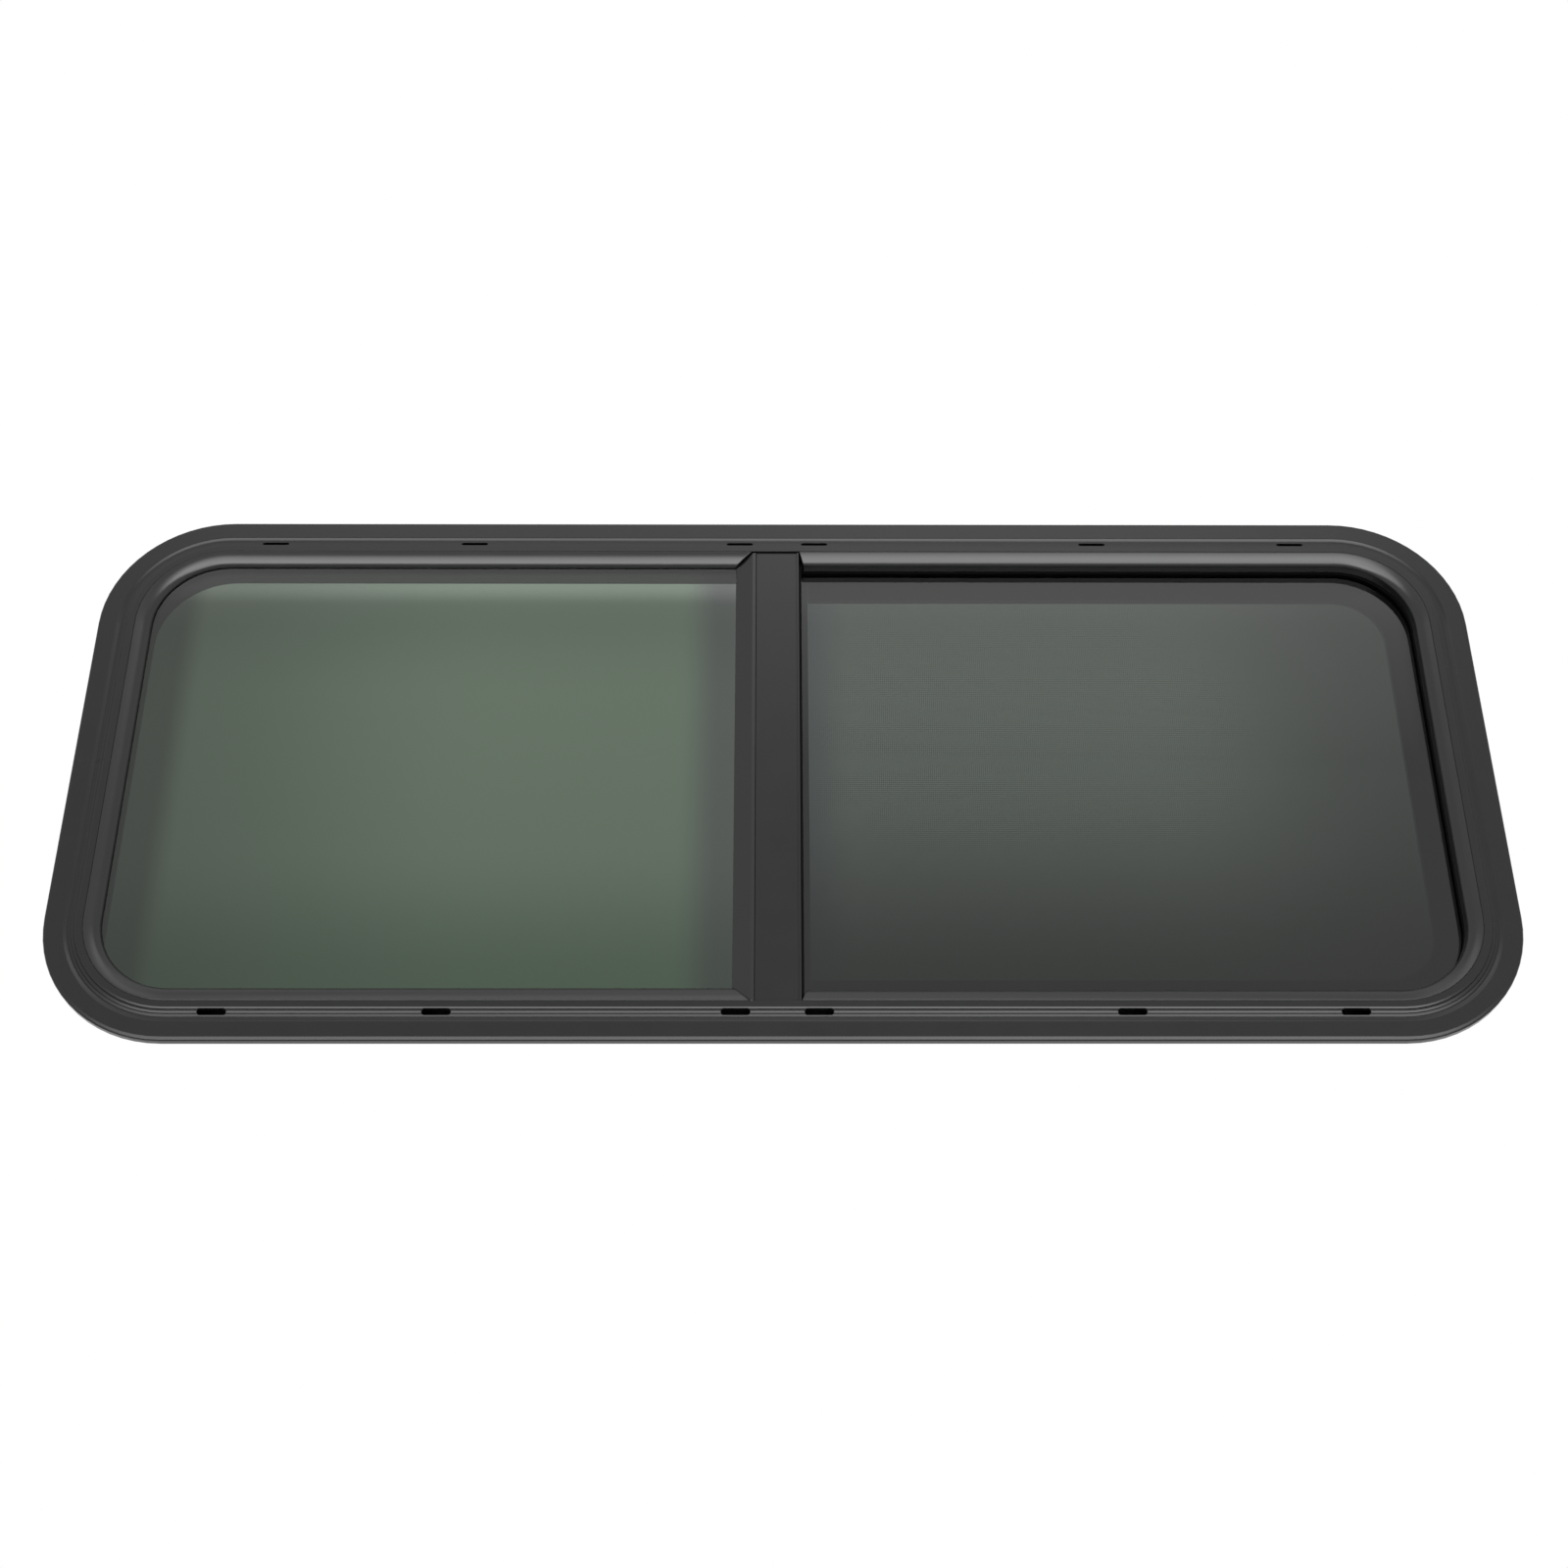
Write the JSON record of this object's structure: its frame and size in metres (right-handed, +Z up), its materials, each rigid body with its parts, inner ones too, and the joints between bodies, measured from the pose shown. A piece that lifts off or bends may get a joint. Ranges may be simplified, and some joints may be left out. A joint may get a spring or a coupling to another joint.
{
  "type": "caravan half-sliding window",
  "caption": "Wide black-framed caravan window with rounded corners: a green-tinted fixed pane, a sliding pane with an insect screen, and a central mullion.",
  "frame": {"origin": "centre of the window in the plane of the flange's back, where the rim meets the wall", "axes": "+X along the width, +Z up, -Y outdoors; the body of the frame goes into the wall along +Y"},
  "size_m": [1, 0.0406, 0.42],
  "materials": {
    "powder_coat": "satin black powder coat",
    "bare_aluminium": "mill finish",
    "bead_black": "smooth satin vinyl",
    "seal_rubber": "matt black rubber",
    "pile_black": "brush pile",
    "green_glass": "tempered tinted glass",
    "grey_glass": "tempered tinted glass",
    "latch_plastic": "fine grained",
    "track_plastic": "satin",
    "screen_coat": "satin black",
    "mesh_fibre": "woven fibreglass yarn"
  },
  "bodies": {
    "root": {"outer_frame": "powder_coat", "frame_splice": "bare_aluminium", "mullion": "powder_coat", "mullion_bead": "bead_black", "mullion_wiper": "seal_rubber", "mullion_pile": "pile_black", "fixed_pane": "green_glass", "fixed_pane_bead": "bead_black", "fixed_pane_tape": "seal_rubber", "setting_blocks": "seal_rubber", "opening_bead": "bead_black", "opening_seal": "seal_rubber", "sliding_pane": "grey_glass", "meeting_stile": "powder_coat", "latch_body": "latch_plastic", "latch_lever": "latch_plastic", "glass_run_right": "seal_rubber", "glass_run_left": "seal_rubber", "track_filler": "track_plastic", "screen_frame": "screen_coat", "screen_stile": "screen_coat", "screen_mesh": "mesh_fibre", "screen_spline": "seal_rubber", "screen_pull": "latch_plastic", "screen_pile": "pile_black"}
  },
  "joints": []
}
